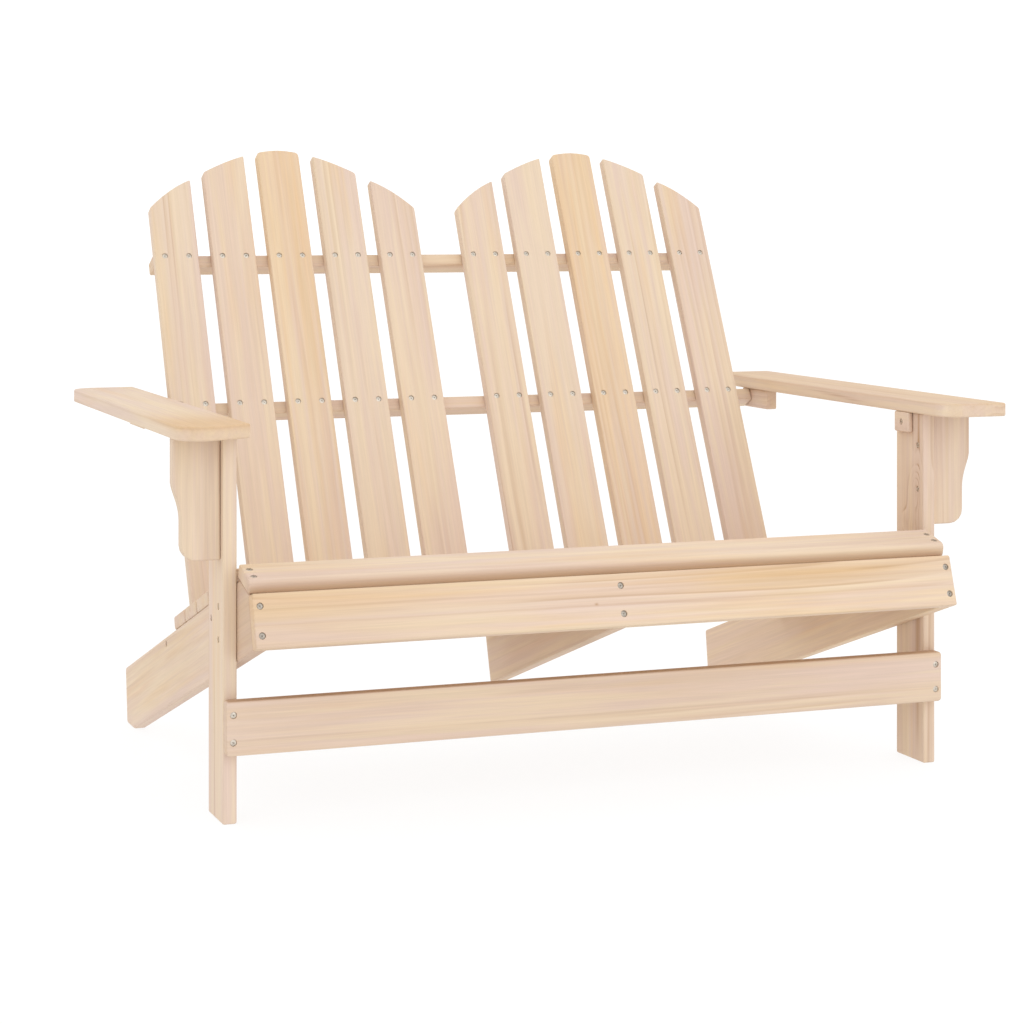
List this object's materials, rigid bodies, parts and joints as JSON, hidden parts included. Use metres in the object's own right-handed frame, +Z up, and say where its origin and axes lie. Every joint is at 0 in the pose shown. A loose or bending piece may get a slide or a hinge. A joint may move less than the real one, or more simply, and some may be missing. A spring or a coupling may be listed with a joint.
{
  "type": "adirondack loveseat",
  "caption": "Two-seat slatted wooden garden bench with broad flat arms, a raked twin-arched back and sloping rear legs, screwed together.",
  "frame": {"origin": "middle of the footprint, on the ground", "axes": "+Z up, +X to the right of someone who looks at the front, the front towards -Y"},
  "size_m": [1.195, 0.8548, 0.8949],
  "materials": {
    "fir_pale": "raw planed softwood, matt, straight grain along each board",
    "fir_amber": "raw planed softwood of a more yellow tone, matt, straight grain along each board",
    "zinc_screw": "bright zinc plating"
  },
  "bodies": {
    "root": {"leg_left": "fir_pale", "leg_right": "fir_pale", "front_stretcher": "fir_pale", "stringer_left": "fir_pale", "stringer_middle": "fir_pale", "stringer_right": "fir_pale", "front_apron": "fir_amber", "seat_slat_1": "fir_pale", "seat_slat_2": "fir_pale", "seat_slat_3": "fir_pale", "seat_slat_4": "fir_pale", "seat_slat_5": "fir_pale", "seat_slat_6": "fir_pale", "back_slat_1": "fir_pale", "back_slat_2": "fir_pale", "back_slat_3": "fir_amber", "back_slat_4": "fir_pale", "back_slat_5": "fir_pale", "back_slat_6": "fir_pale", "back_slat_7": "fir_pale", "back_slat_8": "fir_amber", "back_slat_9": "fir_pale", "back_slat_10": "fir_pale", "back_rail_top": "fir_pale", "back_rail_arm": "fir_pale", "back_rail_low_left": "fir_pale", "back_rail_low_right": "fir_pale", "arm_left": "fir_pale", "arm_right": "fir_pale", "arm_bracket_left": "fir_pale", "arm_bracket_right": "fir_pale", "leg_cleat_left": "fir_pale", "leg_cleat_right": "fir_pale", "arm_cleat_left": "fir_pale", "arm_cleat_right": "fir_pale", "screw_leg_left_1": "zinc_screw", "screw_leg_left_2": "zinc_screw", "screw_leg_left_3": "zinc_screw", "screw_leg_right_1": "zinc_screw", "screw_leg_right_2": "zinc_screw", "screw_leg_right_3": "zinc_screw", "screw_stretcher_left_1": "zinc_screw", "screw_stretcher_left_2": "zinc_screw", "screw_stretcher_right_1": "zinc_screw", "screw_stretcher_right_2": "zinc_screw", "screw_apron_left_1": "zinc_screw", "screw_apron_left_2": "zinc_screw", "screw_apron_middle_1": "zinc_screw", "screw_apron_middle_2": "zinc_screw", "screw_apron_right_1": "zinc_screw", "screw_apron_right_2": "zinc_screw", "screw_rail_left": "zinc_screw", "screw_rail_right": "zinc_screw", "screw_bracket_left_1": "zinc_screw", "screw_bracket_left_2": "zinc_screw", "screw_bracket_right_1": "zinc_screw", "screw_bracket_right_2": "zinc_screw", "screw_cleat_left": "zinc_screw", "screw_cleat_right": "zinc_screw"}
  },
  "joints": []
}
